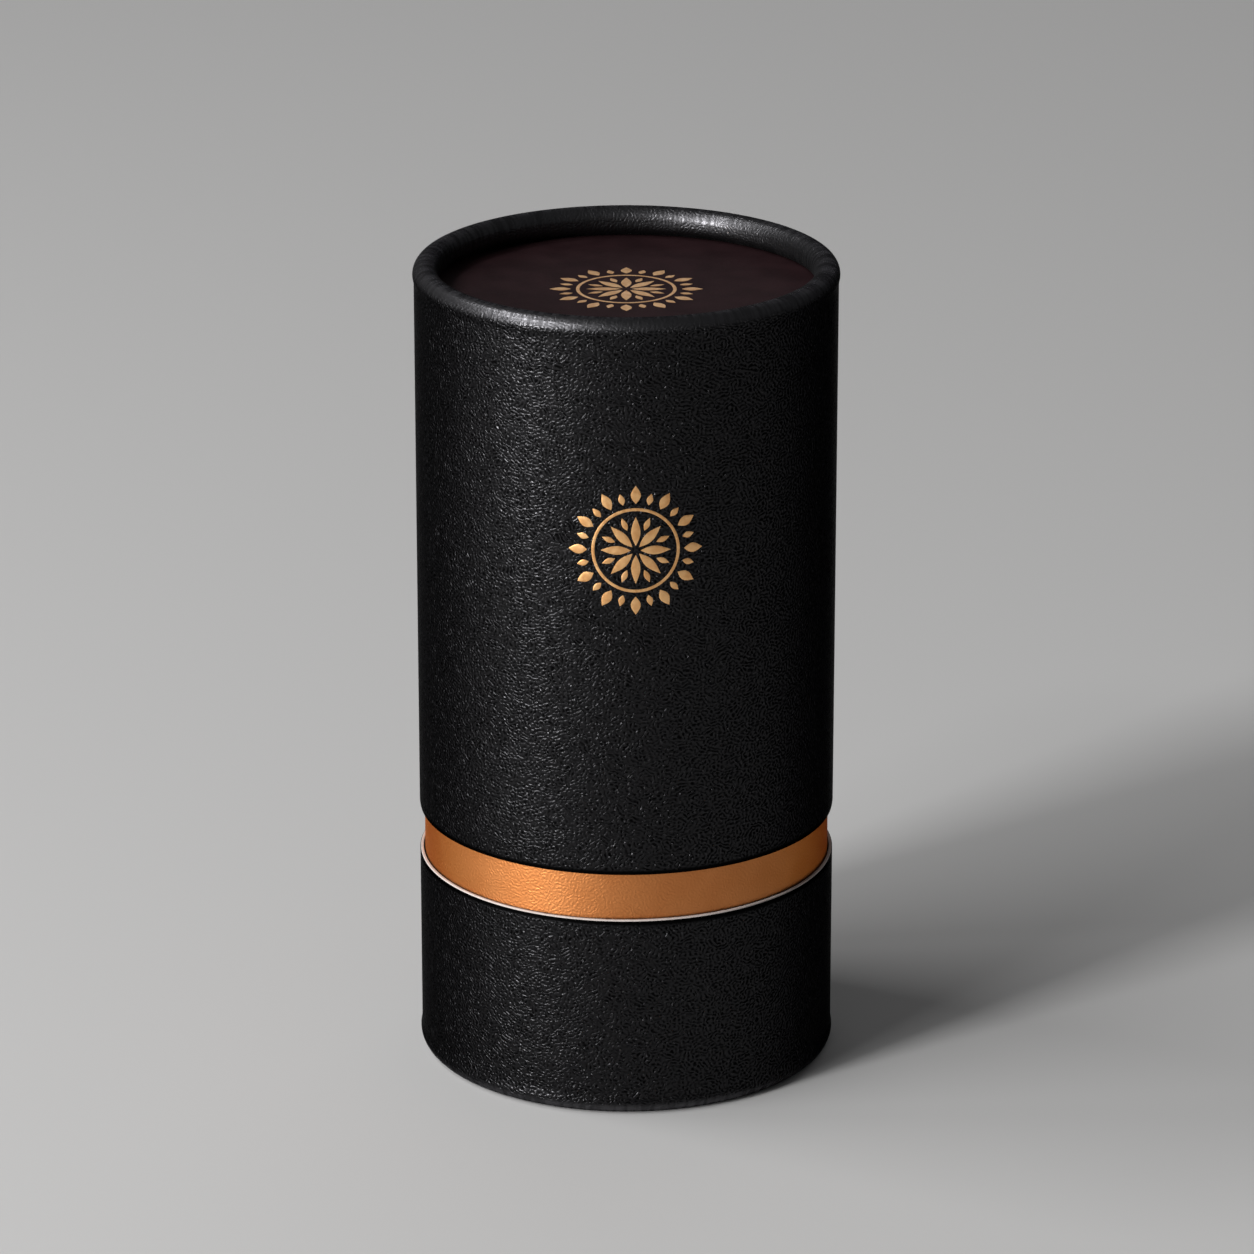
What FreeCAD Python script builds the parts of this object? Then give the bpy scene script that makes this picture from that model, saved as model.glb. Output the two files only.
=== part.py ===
import FreeCAD, Part
import math
import os

# A round gift tube: a deep lid drops over a paper-covered neck that stands in a short base.
# Millimetres, +Z up, origin at the centre of the foot.

# Outside of the closed box
body_diameter = 83.0
total_height = 163.5
base_height = 41.5
reveal_height = 9.5

# Rolled rim, the same at the top of the lid and at the foot of the base
roll_radius = 2.5
roll_leg_height = 0.9
roll_bulge = 0.25
roll_blend_radius = 6.0
roll_turn_share = 0.76
foot_flat_depth = 0.05

# Sheets and boards
wrap_thickness = 0.15
wall_board_thickness = 0.55
lining_thickness = 0.1
facing_thickness = 0.15
disc_board_thickness = 1.5
neck_board_thickness = 1.0

# Fits and trims
lid_clearance = 0.2
disc_clearance = 0.05
bare_edge_height = 0.3
cut_overrun = 1.0

# Radii from the outer wrap inwards
body_radius = body_diameter / 2
board_depth = wrap_thickness + wall_board_thickness
tube_bore_radius = body_radius - board_depth
lining_bore_radius = tube_bore_radius - lining_thickness
neck_radius = lining_bore_radius - lid_clearance
neck_board_radius = neck_radius - wrap_thickness
neck_bore_radius = neck_board_radius - neck_board_thickness
contents_radius = neck_bore_radius - lining_thickness
disc_radius = tube_bore_radius - disc_clearance

# Levels of the base, from the foot upwards
base_roll_z = roll_radius - foot_flat_depth
base_facing_z = base_roll_z + roll_leg_height + roll_radius
base_disc_z = base_facing_z + facing_thickness
base_floor_z = base_disc_z + disc_board_thickness
base_wrap_edge_z = base_height - bare_edge_height

# Levels of the lid, from the top downwards
lid_roll_z = total_height - roll_radius
lid_facing_top_z = lid_roll_z - roll_leg_height - roll_radius
lid_disc_top_z = lid_facing_top_z - facing_thickness
lid_disc_z = lid_disc_top_z - disc_board_thickness
neck_top_z = lid_disc_z - lining_thickness
lid_edge_z = base_height + reveal_height

# The roll bulges a little past the wall, and a hollow arc blends the two
half_turn = math.pi
full_turn = 2 * half_turn
roll_axis_radius = body_radius + roll_bulge - roll_radius
blend_reach = roll_blend_radius + roll_radius
blend_turn = math.acos((blend_reach - roll_bulge) / blend_reach)
blend_drop = blend_reach * math.sin(blend_turn)
roll_end_turn = full_turn * roll_turn_share


def at(radius, height):
    """Point of the half section, at a radius and a height."""
    return FreeCAD.Vector(radius, 0, height)


def revolve(curves):
    """Solid that a closed half section sweeps about the tube's axis."""
    edges = Part.__sortEdges__([curve.toShape() for curve in curves])
    section = Part.Face(Part.Wire(edges))
    return section.revolve(at(0, 0), FreeCAD.Vector(0, 0, 1), math.degrees(full_turn))


def disc(radius, low, high):
    """Flat round sheet or board."""
    return Part.makeCylinder(radius, high - low, at(0, low))


def sleeve(inner_radius, outer_radius, low, high):
    """Straight tube with square cut ends."""
    bore = disc(inner_radius, low - cut_overrun, high + cut_overrun)
    return disc(outer_radius, low, high).cut(bore)


def rolled_path(depth, edge_z, roll_z):
    """One face of a rolled wall, at a depth under the outer face: wall, blend, crown, inner leg and tuck."""
    way = math.copysign(1, roll_z - edge_z)
    wall_radius = body_radius - depth
    blend_z = roll_z - way * blend_drop
    blend_axis_radius = body_radius + roll_blend_radius
    tuck_z = roll_z - way * roll_leg_height

    def on_blend(turn):
        reach = roll_blend_radius + depth
        return at(blend_axis_radius - reach * math.cos(turn), blend_z + way * reach * math.sin(turn))

    def on_roll(turn, axis_z):
        reach = roll_radius - depth
        return at(roll_axis_radius + reach * math.cos(turn), axis_z + way * reach * math.sin(turn))

    crown_start = on_roll(-blend_turn, roll_z)
    crown_end = on_roll(half_turn, roll_z)
    tuck_start = on_roll(half_turn, tuck_z)
    tuck_middle = on_roll((half_turn + roll_end_turn) / 2, tuck_z)
    wall = Part.LineSegment(at(wall_radius, edge_z), on_blend(0))
    blend = Part.Arc(on_blend(0), on_blend(blend_turn / 2), crown_start)
    crown = Part.Arc(crown_start, on_roll((half_turn - blend_turn) / 2, roll_z), crown_end)
    leg = Part.LineSegment(crown_end, tuck_start)
    tuck = Part.Arc(tuck_start, tuck_middle, on_roll(roll_end_turn, tuck_z))
    return [wall, blend, crown, leg, tuck]


def rolled_wall(outer_depth, inner_depth, edge_z, roll_z):
    """Layer of a wall between two depths, from its cut edge to the end of its inward roll."""
    outer = rolled_path(outer_depth, edge_z, roll_z)
    inner = rolled_path(inner_depth, edge_z, roll_z)
    cut_edge = Part.LineSegment(outer[0].StartPoint, inner[0].StartPoint)
    roll_end = Part.LineSegment(outer[-1].EndPoint, inner[-1].EndPoint)
    return revolve(outer + inner + [cut_edge, roll_end])


def lid_tube():
    """Board wall of the lid, its top edge rolled inwards to hold the disc down."""
    return rolled_wall(wrap_thickness, board_depth, lid_edge_z, lid_roll_z)


def lid_wrap():
    """Grained paper round the lid, rolled in together with the board."""
    return rolled_wall(0, wrap_thickness, lid_edge_z, lid_roll_z)


def lid_lining():
    """Inner ply of the lid, from its mouth up to the disc."""
    return sleeve(lining_bore_radius, tube_bore_radius, lid_edge_z, lid_disc_z)


def lid_top_disc():
    """Board disc that closes the lid, under the roll."""
    return disc(disc_radius, lid_disc_z, lid_disc_top_z)


def lid_top_facing():
    """Smooth paper on the lid's disc, pressed against the roll."""
    return disc(disc_radius, lid_disc_top_z, lid_facing_top_z)


def lid_under_lining():
    """Paper under the lid's disc, which comes to rest on the neck."""
    return disc(lining_bore_radius - disc_clearance, neck_top_z, lid_disc_z)


def base_tube():
    """Board wall of the base, its lower edge rolled inwards and its top edge cut bare."""
    return rolled_wall(wrap_thickness, board_depth, base_height, base_roll_z)


def base_wrap():
    """Grained paper round the base, ending under the bare edge and pressed flat at the foot."""
    wrap = rolled_wall(0, wrap_thickness, base_wrap_edge_z, base_roll_z)
    return wrap.cut(disc(body_radius + cut_overrun, -cut_overrun, 0))


def base_lining():
    """Inner ply of the base, between its board and the neck."""
    return sleeve(lining_bore_radius, tube_bore_radius, base_floor_z, base_height)


def base_disc():
    """Board disc that closes the base, on top of the roll."""
    return disc(disc_radius, base_disc_z, base_floor_z)


def base_under_facing():
    """Smooth paper under the base's disc, seen inside the foot."""
    return disc(disc_radius, base_facing_z, base_disc_z)


def neck_tube():
    """Board tube that stands on the base's disc and carries the lid on its top edge."""
    return sleeve(neck_bore_radius, neck_board_radius, base_floor_z, neck_top_z)


def neck_wrap():
    """Metallic paper round the neck, which shows as a band under the lid."""
    return sleeve(neck_board_radius, neck_radius, base_floor_z, neck_top_z)


def neck_lining():
    """Paper lining of the space for the contents."""
    return sleeve(contents_radius, neck_bore_radius, base_floor_z, neck_top_z)


def floor_lining():
    """Paper on the floor inside the neck."""
    return disc(contents_radius - disc_clearance, base_floor_z, base_floor_z + lining_thickness)


nodes = [
    lid_tube,
    lid_wrap,
    lid_lining,
    lid_top_disc,
    lid_top_facing,
    lid_under_lining,
    base_tube,
    base_wrap,
    base_lining,
    base_disc,
    base_under_facing,
    neck_tube,
    neck_wrap,
    neck_lining,
    floor_lining,
]

os.makedirs("parts", exist_ok=True)
for node in nodes:
    node().exportStep(f"parts/{node.__name__}.step")
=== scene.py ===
"""Dresses the round gift tube box: grained black wraps with rolled rims, a copper neck, a foil ornament.

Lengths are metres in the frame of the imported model: +Z up, the foot's centre at the origin, -Y to the viewer.
"""

import logging
import math
from dataclasses import dataclass
from enum import Enum
from typing import Callable, ClassVar, NamedTuple, Optional

import bmesh
import bpy
from mathutils import Euler, Matrix, Vector, noise


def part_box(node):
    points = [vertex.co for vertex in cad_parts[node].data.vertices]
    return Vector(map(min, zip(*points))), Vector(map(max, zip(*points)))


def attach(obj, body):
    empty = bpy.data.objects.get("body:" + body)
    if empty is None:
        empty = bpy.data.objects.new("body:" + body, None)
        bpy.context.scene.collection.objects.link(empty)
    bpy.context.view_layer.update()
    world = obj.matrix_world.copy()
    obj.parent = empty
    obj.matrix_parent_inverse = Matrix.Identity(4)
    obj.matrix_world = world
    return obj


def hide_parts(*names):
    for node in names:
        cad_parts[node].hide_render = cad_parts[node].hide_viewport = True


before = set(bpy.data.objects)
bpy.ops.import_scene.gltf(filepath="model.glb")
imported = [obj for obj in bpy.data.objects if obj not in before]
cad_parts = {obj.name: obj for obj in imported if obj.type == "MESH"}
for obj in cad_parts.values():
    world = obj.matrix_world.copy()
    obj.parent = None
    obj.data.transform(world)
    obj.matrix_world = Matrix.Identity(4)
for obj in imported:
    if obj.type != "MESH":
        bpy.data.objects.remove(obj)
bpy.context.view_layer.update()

log = logging.getLogger("gift_tube")

MILLIMETRE = 0.001
MERGE_DISTANCE = 1e-6
SHARP_ANGLE = math.radians(40)
QUARTER_TURN = math.pi / 2
ORIGIN = (0.0, 0.0, 0.0)
UP = (0.0, 0.0, 1.0)
MIDDLE = (0.3, 0.7)
WHOLE = (0.0, 1.0)
SLEEVE_BEVEL_STEPS = 2
DISC_BEVEL_STEPS = 3
SHEET_MAP = "sheet"
RUN = "run"
ROLLED = "rolled"

Colour = tuple[float, float, float, float]
Triple = tuple[float, float, float]
Span = tuple[float, float]
Socket = bpy.types.NodeSocket


class Body(Enum):
    """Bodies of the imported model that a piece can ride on."""

    LID = "lid"
    BASE = "base"


class Slot(Enum):
    """Material slots of the record."""

    GRAINED = "black_grained_paper"
    SMOOTH = "black_smooth_paper"
    LINING = "black_lining_paper"
    COPPER = "copper_paper"
    WHITE_BOARD = "white_board"
    GREY_BOARD = "grey_board"


class RollEnd(Enum):
    """Which end of a wall is rolled inwards: +1 at its top, -1 at its foot."""

    TOP = 1
    FOOT = -1


class Face(Enum):
    """Which face of a sleeve a lap stands on: +1 on the outside, -1 in the bore."""

    OUTSIDE = 1
    BORE = -1


class Reading(Enum):
    """What is read from a noise texture: one height, or three of them as a colour."""

    HEIGHT = "Fac"
    COLOUR = "Color"


class NodeBoard:
    """A material's node tree, with short ways to add and wire nodes.

    The sockets of math and mix nodes share their names, so they are known by number.
    """

    MIX_AMOUNT = 0
    MIX_VALUES = (2, 3)
    MIX_COLOURS = (6, 7)
    MIX_COLOUR_OUT = 2
    DRIFTS_PER_CELL = 1.5
    GRAZE_BLEND = 0.5
    GRAZE_SPAN = (0.2, 0.75)

    def __init__(self, name: str) -> None:
        """Starts a material that holds one principled shader.

        Args:
            name: The material's name.
        """
        self.material = bpy.data.materials.new(name)
        self.material.use_nodes = True
        self.tree = self.material.node_tree
        self.tree.nodes.clear()
        self.shader = self.add("ShaderNodeBsdfPrincipled", distribution="GGX")
        output = self.add("ShaderNodeOutputMaterial")
        self.wire(self.shader.outputs["BSDF"], output, "Surface")

    def add(self, kind: str, inputs: Optional[dict] = None, **settings: object) -> bpy.types.Node:
        """Adds a node.

        Args:
            kind: The node's type.
            inputs: Values for its unlinked sockets, by socket name.
            **settings: Values for the node's own properties.

        Returns:
            The new node.
        """
        node = self.tree.nodes.new(kind)
        for name, value in settings.items():
            setattr(node, name, value)
        for name, value in (inputs or {}).items():
            node.inputs[name].default_value = value
        return node

    def wire(self, source: Socket, node: bpy.types.Node, socket: str | int) -> None:
        """Links an output to one input of a node."""
        self.tree.links.new(source, node.inputs[socket])

    def surface(self, **values: object) -> None:
        """Sets constants on the shader; underscores stand for the spaces of a socket's name."""
        for name, value in values.items():
            self.shader.inputs[name.replace("_", " ")].default_value = value

    def place(self) -> Socket:
        """Object coordinates of the piece."""
        return self.add("ShaderNodeTexCoord").outputs["Object"]

    def sheet(self) -> Socket:
        """Coordinates on the flat sheet that a wrap was cut from, in metres."""
        return self.add("ShaderNodeUVMap", uv_map=SHEET_MAP).outputs["UV"]

    def along(self, sheet: Socket) -> Socket:
        """Picks the distance from the cut edge of a sheet.

        Args:
            sheet: Coordinates on the sheet.

        Returns:
            The distance in metres.
        """
        split = self.add("ShaderNodeSeparateXYZ")
        self.wire(sheet, split, "Vector")
        return split.outputs["Y"]

    def attribute(self, name: str) -> Socket:
        """A value that the piece's mesh carries."""
        return self.add("ShaderNodeAttribute", attribute_name=name).outputs["Fac"]

    def stretch(self, vector: Socket, scale: Triple) -> Socket:
        """Scales coordinates along their axes.

        Args:
            vector: The coordinates.
            scale: The factor of each axis.

        Returns:
            The scaled coordinates.
        """
        node = self.add("ShaderNodeMapping", {"Scale": scale})
        self.wire(vector, node, "Vector")
        return node.outputs["Vector"]

    def noise(self, scale: float, detail: float = 2.0, vector: Optional[Socket] = None,
              reading: Reading = Reading.HEIGHT) -> Socket:
        """Adds a noise texture.

        Args:
            scale: Cells per metre.
            detail: Octaves past the first.
            vector: Coordinates on a sheet, or None for Object coordinates.
            reading: What is read from it.

        Returns:
            What was read.
        """
        dimensions = "2D" if vector else "3D"
        node = self.add("ShaderNodeTexNoise", {"Scale": scale, "Detail": detail}, noise_dimensions=dimensions)
        self.wire(vector or self.place(), node, "Vector")
        return node.outputs[reading.value]

    def ridges(self, vector: Socket, cells: float, per_cell: float, wriggle: float) -> Socket:
        """Adds patches of short ridges on a sheet, each patch turned its own way, with wriggling lines.

        Args:
            vector: Coordinates on the sheet.
            cells: Patches per metre.
            per_cell: Ridges across a patch.
            wriggle: How far the lines wander, in metres.

        Returns:
            The height, about 0 to 1.
        """
        drift = self.noise(self.DRIFTS_PER_CELL * cells, detail=1.0, vector=vector, reading=Reading.COLOUR)
        push = self.add("ShaderNodeVectorMath", operation="MULTIPLY_ADD")
        self.wire(drift, push, 0)
        push.inputs[1].default_value = (wriggle, wriggle, 0.0)
        self.wire(vector, push, 2)
        patches = {"Scale": cells, "Frequency": per_cell, "Anisotropy": 0.0}
        grain = self.add("ShaderNodeTexGabor", patches, gabor_type="2D")
        self.wire(push.outputs["Vector"], grain, "Vector")
        return grain.outputs["Value"]

    def sum(self, *terms: tuple[Socket, float]) -> Socket:
        """Adds up sockets, each with its own weight.

        Args:
            *terms: Pairs of a socket and its weight.

        Returns:
            The socket of the sum.
        """
        total = None
        for socket, weight in terms:
            node = self.add("ShaderNodeMath", operation="MULTIPLY_ADD")
            self.wire(socket, node, 0)
            node.inputs[1].default_value = weight
            node.inputs[2].default_value = 0.0
            if total is not None:
                self.wire(total, node, 2)
            total = node.outputs[0]
        return total

    def product(self, first: Socket, second: Socket) -> Socket:
        """Multiplies two values.

        Args:
            first: One value.
            second: The other.

        Returns:
            Their product.
        """
        node = self.add("ShaderNodeMath", operation="MULTIPLY")
        self.wire(first, node, 0)
        self.wire(second, node, 1)
        return node.outputs[0]

    def dulled(self, roughness: Socket, at_graze: float) -> Socket:
        """Changes a paper's gloss where it is seen at a flat angle.

        Args:
            roughness: Roughness seen straight on.
            at_graze: Roughness at the flattest angle.

        Returns:
            The roughness for the shader.
        """
        straight_on, flattest = self.MIX_VALUES
        weight = self.add("ShaderNodeLayerWeight", {"Blend": self.GRAZE_BLEND})
        node = self.add("ShaderNodeMix", data_type="FLOAT")
        self.wire(self.spread(weight.outputs["Facing"], self.GRAZE_SPAN), node, self.MIX_AMOUNT)
        self.wire(roughness, node, straight_on)
        node.inputs[flattest].default_value = at_graze
        return node.outputs[0]

    def between(self, amount: Socket, low: Socket, high: Socket) -> Socket:
        """Mixes two values.

        Args:
            amount: The share of the second, from 0 to 1.
            low: The first value.
            high: The second value.

        Returns:
            The mixed value.
        """
        node = self.add("ShaderNodeMix", data_type="FLOAT")
        for index, socket in zip((self.MIX_AMOUNT, *self.MIX_VALUES), (amount, low, high)):
            self.wire(socket, node, index)
        return node.outputs[0]

    def spread(self, source: Socket, span: Span, to: Span = WHOLE) -> Socket:
        """Maps a span of values to another, clamped, with soft ends.

        Args:
            source: The value.
            span: The span that is mapped.
            to: The span that it is mapped to.

        Returns:
            The mapped value.
        """
        limits = {"From Min": span[0], "From Max": span[1], "To Min": to[0], "To Max": to[1]}
        node = self.add("ShaderNodeMapRange", limits, interpolation_type="SMOOTHSTEP")
        self.wire(source, node, "Value")
        return node.outputs["Result"]

    def tint(self, amount: Socket, low: Colour, high: Colour) -> Socket:
        """Mixes two colours.

        Args:
            amount: The share of the second, from 0 to 1.
            low: The first colour.
            high: The second colour.

        Returns:
            The mixed colour.
        """
        node = self.add("ShaderNodeMix", data_type="RGBA")
        for index, colour in zip(self.MIX_COLOURS, (low, high)):
            node.inputs[index].default_value = colour
        self.wire(amount, node, self.MIX_AMOUNT)
        return node.outputs[self.MIX_COLOUR_OUT]

    def paint(self, colour: Socket) -> None:
        """Wires a colour to the shader."""
        self.wire(colour, self.shader, "Base Color")

    def roughen(self, roughness: Socket) -> None:
        """Wires a roughness to the shader."""
        self.wire(roughness, self.shader, "Roughness")

    def emboss(self, height: Socket, depth: float) -> None:
        """Wires a height from 0 to 1 to the shader's normal.

        Args:
            height: The relief.
            depth: What a height of 1 measures, in metres.
        """
        bump = self.add("ShaderNodeBump", {"Strength": 1.0, "Distance": depth})
        self.wire(height, bump, "Height")
        self.wire(bump.outputs["Normal"], self.shader, "Normal")


@dataclass(frozen=True)
class GrainedPaper:
    """Black wrapping paper embossed with wriggling ridges and specks, gathered where it is rolled in.

    Its film is given as a dark metal. The base colour is then what it mirrors straight on: more on the ridges,
    which are polished, than in the grooves, which are darkened with painted shade. The edge tint keeps flat
    angles dark, where the grain shades itself.
    """

    name: str = "grained_paper"
    # What the grooves mirror, darkened with painted shade; also the low end of the crown's shine.
    matt_and_groove_shade: Colour = (0.0022, 0.0022, 0.0023, 1.0)
    shiny: Colour = (0.129, 0.127, 0.134, 1.0)
    ridge_shine: float = 0.215
    crown_shine: Span = (0.58, 0.95)
    # The edge tint is painted shade: it darkens flat angles, where the grain shades itself.
    edge_tint: Colour = (0.15, 0.15, 0.15, 1.0)
    patch_cells: float = 400.0
    ridges_per_patch: float = 3.2
    slant: Triple = (0.9, 1.08, 1.0)
    wriggle: float = 1.1 * MILLIMETRE
    crest: Span = (0.24, 0.62)
    line_share: float = 0.8
    speck_cells: float = 1300.0
    speck_crest: Span = (0.64, 0.76)
    speck_share: float = 0.4
    fold_cells: float = 900.0
    fold_stretch: float = 0.16
    fold_share: float = 0.05
    flattened_share: float = 0.17
    pressed_edge: Span = (0.5 * MILLIMETRE, 1.3 * MILLIMETRE)
    depth: float = 0.125 * MILLIMETRE
    roughness: Span = (0.58, 0.22)
    burnished: Span = (0.4, 0.3)
    graze_roughness: float = 0.45

    def material(self) -> bpy.types.Material:
        """Makes the finish.

        Returns:
            The material.
        """
        board = NodeBoard(self.name)
        sheet = board.sheet()
        rolled = board.attribute(ROLLED)
        drafted = board.stretch(sheet, self.slant)
        lines = board.ridges(drafted, self.patch_cells, self.ridges_per_patch, self.wriggle)
        ridges = board.spread(lines, self.crest)
        specks = board.spread(board.noise(self.speck_cells, detail=0.0, vector=sheet), self.speck_crest)
        grain = board.sum((ridges, self.line_share), (specks, self.speck_share))
        drawn = board.stretch(sheet, (1.0, self.fold_stretch, 1.0))
        folds = board.spread(board.noise(self.fold_cells, vector=drawn), MIDDLE)
        gathered = board.sum((grain, self.flattened_share), (folds, self.fold_share))
        worked = board.between(rolled, grain, gathered)
        relief = board.product(worked, board.spread(board.along(sheet), self.pressed_edge))
        crown = board.spread(folds, WHOLE, self.crown_shine)
        # The relief sets the base colour: polished ridges mirror more, and the grooves get painted shade.
        shine_and_groove_shade = board.between(rolled, board.sum((relief, self.ridge_shine)), crown)
        board.paint(board.tint(shine_and_groove_shade, self.matt_and_groove_shade, self.shiny))
        gloss = board.between(rolled, board.spread(relief, MIDDLE, self.roughness),
                              board.spread(folds, MIDDLE, self.burnished))
        board.roughen(board.dulled(gloss, self.graze_roughness))
        board.surface(Metallic=1.0, Specular_Tint=self.edge_tint)
        board.emboss(relief, self.depth)
        return board.material


@dataclass(frozen=True)
class CopperPaper:
    """Metallic copper paper with a satin face and a fine crinkle."""

    name: str = "copper_paper"
    deep: Colour = (0.592, 0.213, 0.066, 1.0)
    bright: Colour = (0.628, 0.235, 0.076, 1.0)
    # The edge tint darkens and reddens the copper at flat angles: painted shade in its reflections.
    edge_tint: Colour = (0.36, 0.085, 0.010, 1.0)
    patch_cells: float = 560.0
    crinkles_per_patch: float = 2.4
    wriggle: float = 0.9 * MILLIMETRE
    crinkle_crest: Span = (0.25, 0.85)
    crinkle_share: float = 0.7
    fibre_cells: float = 2600.0
    fibre_share: float = 0.3
    mottle_cells: float = 110.0
    roughness: Span = (0.43, 0.53)
    depth: float = 0.045 * MILLIMETRE

    def material(self) -> bpy.types.Material:
        """Makes the finish.

        Returns:
            The material.
        """
        board = NodeBoard(self.name)
        sheet = board.sheet()
        lines = board.ridges(sheet, self.patch_cells, self.crinkles_per_patch, self.wriggle)
        crinkle = board.spread(lines, self.crinkle_crest)
        fibre = board.noise(self.fibre_cells, vector=sheet)
        mottle = board.noise(self.mottle_cells, detail=3.0, vector=sheet)
        board.paint(board.tint(board.spread(mottle, MIDDLE), self.deep, self.bright))
        board.roughen(board.spread(fibre, MIDDLE, self.roughness))
        board.surface(Metallic=1.0, Specular_Tint=self.edge_tint)
        relief = board.sum((crinkle, self.crinkle_share), (fibre, self.fibre_share))
        board.emboss(relief, self.depth)
        return board.material


@dataclass(frozen=True)
class StampedFoil:
    """Hot-stamped copper foil, brighter than the paper and slightly broken by the grain under it."""

    name: str = "stamped_foil"
    deep: Colour = (0.80, 0.41, 0.16, 1.0)
    bright: Colour = (0.96, 0.56, 0.25, 1.0)
    mottle_cells: float = 600.0
    grain_cells: float = 1400.0
    roughness: Span = (0.34, 0.48)
    depth: float = 0.02 * MILLIMETRE

    def material(self) -> bpy.types.Material:
        """Makes the finish.

        Returns:
            The material.
        """
        board = NodeBoard(self.name)
        mottle = board.noise(self.mottle_cells)
        grain = board.noise(self.grain_cells)
        board.paint(board.tint(board.spread(mottle, MIDDLE), self.deep, self.bright))
        board.roughen(board.spread(grain, MIDDLE, self.roughness))
        board.surface(Metallic=1.0)
        board.emboss(grain, self.depth)
        return board.material


@dataclass(frozen=True)
class PlainPaper:
    """Smooth paper with fine fibres and a faint mottle."""

    name: str
    dark: Colour
    light: Colour
    roughness: Span
    specular: float = 0.2
    fibre_cells: float = 3200.0
    fibre_share: float = 0.4
    mottle_cells: float = 160.0
    mottle_share: float = 0.6
    shade_span: Span = (0.32, 0.68)
    depth: float = 0.008 * MILLIMETRE

    def material(self) -> bpy.types.Material:
        """Makes the finish.

        Returns:
            The material.
        """
        board = NodeBoard(self.name)
        fibre = board.noise(self.fibre_cells, detail=3.0)
        mottle = board.noise(self.mottle_cells, detail=4.0)
        shade = board.sum((mottle, self.mottle_share), (fibre, self.fibre_share))
        board.paint(board.tint(board.spread(shade, self.shade_span), self.dark, self.light))
        board.roughen(board.spread(fibre, MIDDLE, self.roughness))
        board.surface(Specular_IOR_Level=self.specular)
        board.emboss(fibre, self.depth)
        return board.material


@dataclass(frozen=True)
class CutBoard:
    """Bare cut edge of a board: matte, in thin plies, with loose fibres."""

    name: str
    dark: Colour
    light: Colour
    roughness: float = 0.85
    specular: float = 0.2
    ply_cells: float = 5000.0
    ply_share: float = 0.5
    fibre_cells: float = 1800.0
    fibre_share: float = 0.5
    depth: float = 0.02 * MILLIMETRE

    def material(self) -> bpy.types.Material:
        """Makes the finish.

        Returns:
            The material.
        """
        board = NodeBoard(self.name)
        ply = board.noise(self.ply_cells, detail=1.0)
        fibre = board.noise(self.fibre_cells, detail=3.0)
        shade = board.sum((ply, self.ply_share), (fibre, self.fibre_share))
        board.paint(board.tint(board.spread(shade, MIDDLE), self.dark, self.light))
        board.surface(Roughness=self.roughness, Specular_IOR_Level=self.specular)
        board.emboss(fibre, self.depth)
        return board.material


class Finish(NamedTuple):
    """A finish as a material, with the record's slot for it."""

    material: bpy.types.Material
    slot: Slot


@dataclass(frozen=True)
class Finishes:
    """The finishes of the box, each made once."""

    grained: Finish
    facing: Finish
    lining: Finish
    copper: Finish
    foil: Finish
    white_board: Finish
    grey_board: Finish

    @classmethod
    def make(cls) -> "Finishes":
        """Makes every finish.

        Returns:
            The finishes.
        """
        facing = PlainPaper("facing_paper", dark=(0.0140, 0.0056, 0.0068, 1.0),
                            light=(0.0240, 0.0104, 0.0122, 1.0), roughness=(0.7, 0.82), specular=0.06)
        lining = PlainPaper("lining_paper", dark=(0.006, 0.0057, 0.0057, 1.0),
                            light=(0.012, 0.0115, 0.0115, 1.0), roughness=(0.6, 0.75))
        white = CutBoard("white_board", dark=(0.47, 0.41, 0.38, 1.0), light=(0.61, 0.54, 0.505, 1.0))
        grey = CutBoard("grey_board", dark=(0.26, 0.23, 0.20, 1.0), light=(0.42, 0.38, 0.33, 1.0))
        return cls(
            grained=Finish(GrainedPaper().material(), Slot.GRAINED),
            facing=Finish(facing.material(), Slot.SMOOTH),
            lining=Finish(lining.material(), Slot.LINING),
            copper=Finish(CopperPaper().material(), Slot.COPPER),
            foil=Finish(StampedFoil().material(), Slot.COPPER),
            white_board=Finish(white.material(), Slot.WHITE_BOARD),
            grey_board=Finish(grey.material(), Slot.GREY_BOARD),
        )


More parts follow.
